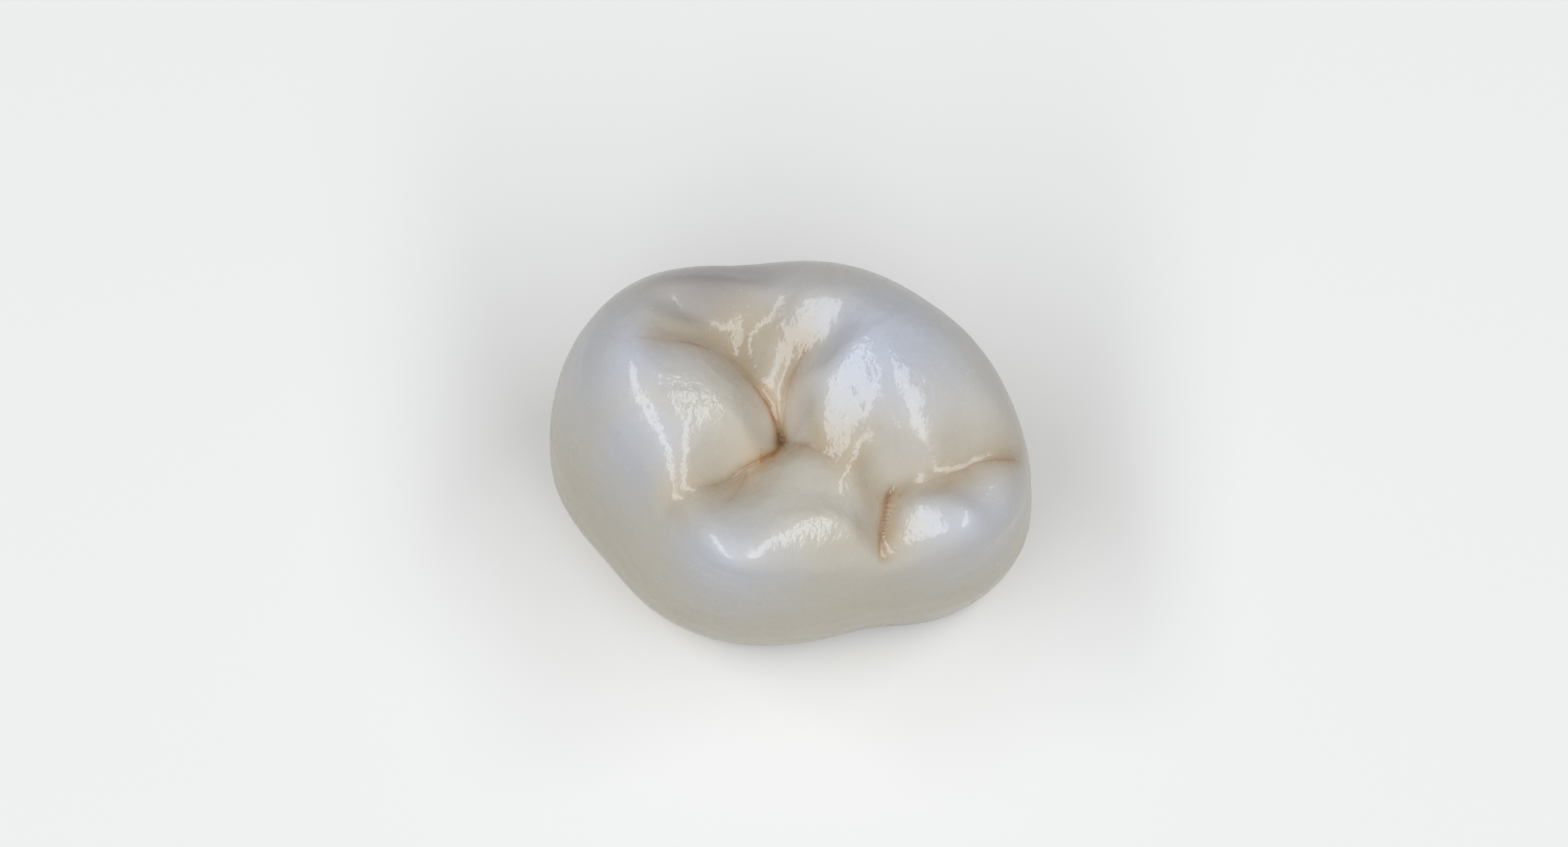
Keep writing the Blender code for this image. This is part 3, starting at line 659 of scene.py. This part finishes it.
# how the ceramic looks: what follows Object coordinates is in metres, what follows an attribute is in mm
glazeLook = {
    "cloudScale": 700.0, "cuspDrift": 1.2, "warmDrift": 1.6, "warmLevel": 0.95,
    "neckFrom": 0.0066, "neckFull": 0.0028, "neckDrift": 0.6, "neckShare": 0.9,
    "bandFrom": 0.75, "bandFull": 0.10, "bandDrift": 0.5, "bandShare": 0.7, "bandLeast": 0.15,
    "warmShare": 0.90, "haloShare": 0.70,
    "washes": ((0.120, 0.12, 0.85, 5500.0, 0.80), (0.035, 0.06, 0.60, 9000.0, 0.90)),
    "dotScale": 14000.0, "dotShare": 0.11, "dotNear": 0.9, "dotFar": 0.02,
    # pale flecks: painted glints
    "glintScale": 11000.0, "glintShare": 0.05, "glintDepth": 0.22,
    "bodyRoughness": 0.24, "patchRoughness": 0.08, "hollowRoughness": 0.62,
    "patchScale": 900.0, "etchScale": 22000.0,
    "wallCoat": 0.22, "tableCoat": 0.38, "coatRoughness": 0.05, "specular": 0.25, "ior": 1.5,
    "subsurface": 0.55, "subsurfaceRadius": (1.0, 0.80, 0.60), "subsurfaceScale": 0.0008,
    "bumpHeight": 0.000030, "sunkWidth": 0.045, "sunkDepth": 0.9,
    "swellScale": 3000.0, "swellDepth": 1.5, "rippleScale": 11000.0, "rippleDepth": 0.45,
    "hammeredShare": 0.6, "plainShare": 0.4,
    "swayScale": 260.0, "swayReach": 0.9, "linesPerMm": 8.0, "lineDepth": 0.10,
}


def colour(name):
    return (*ceramicTones[name], 1.0)


def mixIn(tree, factor, first, second):
    inputs = {0: factor, 6: first, 7: second}
    return nodeIn(tree, "ShaderNodeMix", inputs, data_type="RGBA").outputs[2]


def blendIn(tree, factor, first, second):
    return nodeIn(tree, "ShaderNodeMix", {0: factor, 2: first, 3: second}, data_type="FLOAT").outputs[0]


def attributeIn(tree, name):
    return nodeIn(tree, "ShaderNodeAttribute", attribute_name=name).outputs["Fac"]


def placeGroup(tree, group, **inputs):
    return nodeIn(tree, "ShaderNodeGroup", inputs, node_tree=group).outputs


def makeGlazedCeramic():
    material = bpy.data.materials.new("glazedCeramic")
    material.use_nodes = True
    tree = material.node_tree
    shader = tree.nodes["Principled BSDF"]
    look = glazeLook
    place = nodeIn(tree, "ShaderNodeTexCoord").outputs["Object"]
    height = nodeIn(tree, "ShaderNodeSeparateXYZ", {0: place}).outputs[2]
    side, depth = attributeIn(tree, "fissureSide"), attributeIn(tree, "stainDepth")
    glow, warmth = attributeIn(tree, "stainGlow"), attributeIn(tree, "warmth")
    inside, foot = attributeIn(tree, "inside"), attributeIn(tree, "footHeight")
    table = attributeIn(tree, "table")

    # layers of body colour: bluish cusps, a warm neck that also darkens the lower walls as painted shade,
    # band at the margin, a greyer ridge in front that is partly painted shade, warm valleys darkened partly
    # as painted shade
    cloud = noiseIn(tree, place, look["cloudScale"], 3.0)
    drift = mathIn(tree, "SUBTRACT", cloud, 0.5)
    cusp = mathIn(tree, "MULTIPLY_ADD", drift, look["cuspDrift"], 1.0)
    cusp = mathIn(tree, "MULTIPLY", attributeIn(tree, "lilac"), cusp, clamp=True)
    tone = mixIn(tree, cusp, colour("enamel"), colour("incisal"))
    # darker and warmer towards the neck: partly the ceramic's warmer neck, partly painted shade on the lower
    # walls
    neckToneAndShade = rangeIn(tree, height, look["neckFrom"], look["neckFull"])
    neckToneAndShade = mathIn(tree, "ADD", neckToneAndShade, mathIn(tree, "MULTIPLY", drift, look["neckDrift"]), clamp=True)
    tone = mixIn(tree, mathIn(tree, "MULTIPLY", neckToneAndShade, look["neckShare"]), tone, colour("neckToneAndShade"))
    wavering = mathIn(tree, "MULTIPLY_ADD", drift, look["bandDrift"], foot)
    cloudy = mathIn(tree, "MULTIPLY_ADD", cloud, look["bandShare"], look["bandLeast"])
    band = mathIn(tree, "MULTIPLY", rangeIn(tree, wavering, look["bandFrom"], look["bandFull"]), cloudy)
    tone = mixIn(tree, band, tone, colour("band"))
    # greyer front ridge: painted shade where the ridge is weakly lit, partly its own greyer translucence
    tone = mixIn(tree, attributeIn(tree, "ridgeShade"), tone, colour("ridgeShade"))
    # warm valleys: the dentine tone is real, its darkness partly painted shade in the hollows
    warm = mathIn(tree, "MULTIPLY_ADD", drift, look["warmDrift"], look["warmLevel"])
    warm = mathIn(tree, "MULTIPLY", warmth, warm, clamp=True)
    tone = mixIn(tree, mathIn(tree, "MULTIPLY", warm, look["warmShare"]), tone, colour("dentineAndShade"))
    tone = mixIn(tree, mathIn(tree, "MULTIPLY", glow, look["haloShare"]), tone, colour("halo"))

    # the stain itself: a broad broken wash, then the fine line, then specks in it, and pale flecks anywhere
    # as painted glints
    for width, wander, breakUp, grain, strength in look["washes"]:
        line = placeGroup(tree, stainLine, Place=place, Side=side, Depth=depth, Width=width, Wander=wander,
                          Grain=grain, **{"Break Up": breakUp})
        tone = mixIn(tree, mathIn(tree, "MULTIPLY", line["Mask"], strength), tone, colour("stain"))
    dots = placeGroup(tree, fineSpecks, Place=place, Size=look["dotScale"], Share=look["dotShare"])
    nearStain = mathIn(tree, "MULTIPLY_ADD", glow, look["dotNear"], look["dotFar"])
    tone = mixIn(tree, mathIn(tree, "MULTIPLY", dots["Mask"], nearStain), tone, colour("stain"))
    # pale flecks lighten the colour as painted glints
    glintFlecks = placeGroup(tree, fineSpecks, Place=place, Size=look["glintScale"], Share=look["glintShare"])
    tone = mixIn(tree, mathIn(tree, "MULTIPLY", glintFlecks["Mask"], look["glintDepth"]), tone, colour("paintedGlint"))
    tone = mixIn(tree, inside, tone, colour("etched"))
    tree.links.new(tone, shader.inputs["Base Color"])

    # a glossy glaze over a duller body, dull and grained inside the hollow
    grain = placeGroup(tree, glazeGrain, Place=place, Patches=look["patchScale"], Smoothness=0.35)
    etch = placeGroup(tree, glazeGrain, Place=place, Size=look["etchScale"], Smoothness=0.0)
    rough = mathIn(tree, "MULTIPLY_ADD", grain["Patch"], look["patchRoughness"], look["bodyRoughness"])
    tree.links.new(blendIn(tree, inside, rough, look["hollowRoughness"]), shader.inputs["Roughness"])
    glossy = mathIn(tree, "MULTIPLY_ADD", table, look["tableCoat"], look["wallCoat"])
    tree.links.new(blendIn(tree, inside, glossy, 0.0), shader.inputs["Coat Weight"])
    shader.inputs["Coat Roughness"].default_value = look["coatRoughness"]
    shader.inputs["Specular IOR Level"].default_value = look["specular"]
    shader.inputs["IOR"].default_value = look["ior"]
    shader.inputs["Subsurface Weight"].default_value = look["subsurface"]
    shader.inputs["Subsurface Radius"].default_value = look["subsurfaceRadius"]
    shader.inputs["Subsurface Scale"].default_value = look["subsurfaceScale"]

    # fine ripples in the glaze of the biting face, growth lines round the walls, a sunk line under each stain
    sunk = bellOf(tree, mathIn(tree, "DIVIDE", side, look["sunkWidth"]))
    sunk = mathIn(tree, "MULTIPLY", mathIn(tree, "MULTIPLY", sunk, depth), -1.0)
    ripple = mathIn(tree, "MULTIPLY", noiseIn(tree, place, look["rippleScale"], 1.0), look["rippleDepth"])
    swell = noiseIn(tree, place, look["swellScale"], 1.0)
    uneven = mathIn(tree, "MULTIPLY_ADD", swell, look["swellDepth"], ripple)
    worked = attributeIn(tree, "hammered")
    worked = mathIn(tree, "MULTIPLY_ADD", worked, look["hammeredShare"], look["plainShare"])
    glaze = mathIn(tree, "MULTIPLY", uneven, mathIn(tree, "MULTIPLY", worked, table))
    sway = noiseIn(tree, place, look["swayScale"], 2.0)
    rising = mathIn(tree, "MULTIPLY_ADD", sway, look["swayReach"], foot)
    along = mathIn(tree, "MULTIPLY", rising, look["linesPerMm"])
    lines = nodeIn(tree, "ShaderNodeTexNoise", {"W": along, "Scale": 1.0, "Detail": 1.0},
                   noise_dimensions="1D").outputs[0]
    bare = mathIn(tree, "SUBTRACT", 1.0, table, clamp=True)
    glaze = mathIn(tree, "MULTIPLY_ADD", mathIn(tree, "MULTIPLY", lines, bare), look["lineDepth"], glaze)
    relief = mathIn(tree, "MULTIPLY_ADD", sunk, look["sunkDepth"], glaze)
    relief = blendIn(tree, inside, relief, etch["Height"])
    bump = nodeIn(tree, "ShaderNodeBump", {"Strength": 1.0, "Distance": look["bumpHeight"], "Height": relief})
    tree.links.new(bump.outputs[0], shader.inputs["Normal"])
    tree.links.new(bump.outputs[0], shader.inputs["Coat Normal"])
    return material


print("crown: glazing")
glazedCeramic = makeGlazedCeramic()
crownDraft = bpy.data.objects.new("crown_draft", crownMesh)
bpy.context.scene.collection.objects.link(crownDraft)
reliefTree = surfaceReliefTree(glazedCeramic)
reliefModifier = crownDraft.modifiers.new("relief", "NODES")
reliefModifier.node_group = reliefTree
for label, value in reliefSizes.items():
    reliefModifier[socketOf(reliefTree, label)] = value
bpy.context.view_layer.update()
evaluated = crownDraft.evaluated_get(bpy.context.evaluated_depsgraph_get())
finishedMesh = bpy.data.meshes.new_from_object(evaluated)
bpy.data.objects.remove(crownDraft)
finishedMesh.name = "crown_glazed"
finishedMesh.shade_smooth()
finishedMesh.set_sharp_from_angle(angle=math.radians(crownForm["sharpAngle"]))
crownPiece = bpy.data.objects.new("crown_glazed", finishedMesh)
bpy.context.scene.collection.objects.link(crownPiece)
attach(crownPiece, "root")
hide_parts("crown")

print("studio: floor, lamps, camera")
# sizes in metres; floorBounce lights the crown from below, floorTone and floorLift are what is seen
studio = {
    "floorTone": (0.88, 0.842, 0.800), "floorLift": 0.12, "floorBounce": (0.30, 0.295, 0.285),
    "floorHalf": 1.2, "floorRoughness": 0.7,
    "worldTone": (0.80, 0.81, 0.82), "worldLight": 0.15,
    "lampSize": (0.130, 0.70), "lampPower": 1.18, "lampTone": (0.88, 0.94, 1.0), "lampReach": 0.40,
    "lampPlace": (0.55, -0.34, 0.80),
}

# the photograph's view: angles in degrees, places in its own pixels
view = {"elevation": 68.0, "turn": 18.0, "distance": 0.300, "pxPerMm": 66.04, "originPx": (1296.8, 822.9),
        "centrePx": (1288.0, 695.5), "widthPx": 2576.0, "sensorMm": 36.0}


def seenRays(tree):
    # 1 for what the camera sees straight, in a reflection or through glass, 0 for the light on the crown
    rays = nodeIn(tree, "ShaderNodeLightPath").outputs
    seen = mathIn(tree, "MAXIMUM", rays["Is Camera Ray"], rays["Is Glossy Ray"])
    return mathIn(tree, "MAXIMUM", seen, rays["Is Transmission Ray"])


def makeFloor():
    half = studio["floorHalf"]
    mesh = bpy.data.meshes.new("floor")
    corners = [(-half, -half, 0.0), (half, -half, 0.0), (half, half, 0.0), (-half, half, 0.0)]
    mesh.from_pydata(corners, [], [(0, 1, 2, 3)])
    material = bpy.data.materials.new("floorPaper")
    material.use_nodes = True
    tree = material.node_tree
    shader = tree.nodes["Principled BSDF"]
    seen = seenRays(tree)
    tone = mixIn(tree, seen, (*studio["floorBounce"], 1.0), (*studio["floorTone"], 1.0))
    tree.links.new(tone, shader.inputs["Base Color"])
    shader.inputs["Roughness"].default_value = studio["floorRoughness"]
    shader.inputs["Emission Strength"].default_value = 1.0
    lifted = mixIn(tree, seen, (0.0, 0.0, 0.0, 1.0), (*[studio["floorLift"]] * 3, 1.0))
    tree.links.new(lifted, shader.inputs["Emission Color"])
    mesh.materials.append(material)
    floor = bpy.data.objects.new("floor", mesh)
    bpy.context.scene.collection.objects.link(floor)


def viewAxes():
    tilt, turn = math.radians(view["elevation"]), math.radians(view["turn"])
    right = Vector((math.cos(turn), -math.sin(turn), 0.0))
    forward = Vector((math.sin(turn) * math.cos(tilt), math.cos(turn) * math.cos(tilt), -math.sin(tilt)))
    return right, forward, right.cross(forward)


def addLamp(name, direction):
    right = viewAxes()[0]
    back = Vector((-right.y, right.x, 0.0))
    aim = (right * direction[0] + back * direction[1] + Vector((0.0, 0.0, direction[2]))).normalized()
    lamp = bpy.data.lights.new(name, "AREA")
    lamp.shape = "RECTANGLE"
    lamp.size, lamp.size_y = studio["lampSize"]
    lamp.energy = studio["lampPower"]
    lamp.color = studio["lampTone"]
    holder = bpy.data.objects.new(name, lamp)
    across = back.cross(aim).normalized()
    upward = aim.cross(across)
    turned = Matrix((across, upward, aim)).transposed().to_4x4()
    holder.matrix_world = Matrix.Translation(aim * studio["lampReach"]) @ turned
    bpy.context.scene.collection.objects.link(holder)


def makeWorld():
    world = bpy.data.worlds.new("studio")
    bpy.context.scene.world = world
    world.use_nodes = True
    tree = world.node_tree
    strength = blendIn(tree, seenRays(tree), studio["worldLight"], 1.0)
    background = tree.nodes["Background"]
    background.inputs["Color"].default_value = (*studio["worldTone"], 1.0)
    tree.links.new(strength, background.inputs["Strength"])


def makeCamera():
    right, forward, upward = viewAxes()
    perMm = view["pxPerMm"]
    aim = right * ((view["centrePx"][0] - view["originPx"][0]) / perMm * 0.001)
    aim += upward * ((view["originPx"][1] - view["centrePx"][1]) / perMm * 0.001)
    data = bpy.data.cameras.new("photoView")
    data.sensor_width = view["sensorMm"]
    data.lens = view["sensorMm"] * view["distance"] / (view["widthPx"] / perMm * 0.001)
    data.clip_start, data.clip_end = 0.01, 10.0
    camera = bpy.data.objects.new("photoView", data)
    turned = Matrix((right, upward, -forward)).transposed().to_4x4()
    camera.matrix_world = Matrix.Translation(aim - forward * view["distance"]) @ turned
    bpy.context.scene.collection.objects.link(camera)
    bpy.context.scene.camera = camera


makeFloor()
for name, hand in (("stripLeft", -1.0), ("stripRight", 1.0)):
    across, back, upward = studio["lampPlace"]
    addLamp(name, (hand * across, back, upward))
makeWorld()
makeCamera()
bpy.context.scene.view_settings.view_transform = "Standard"
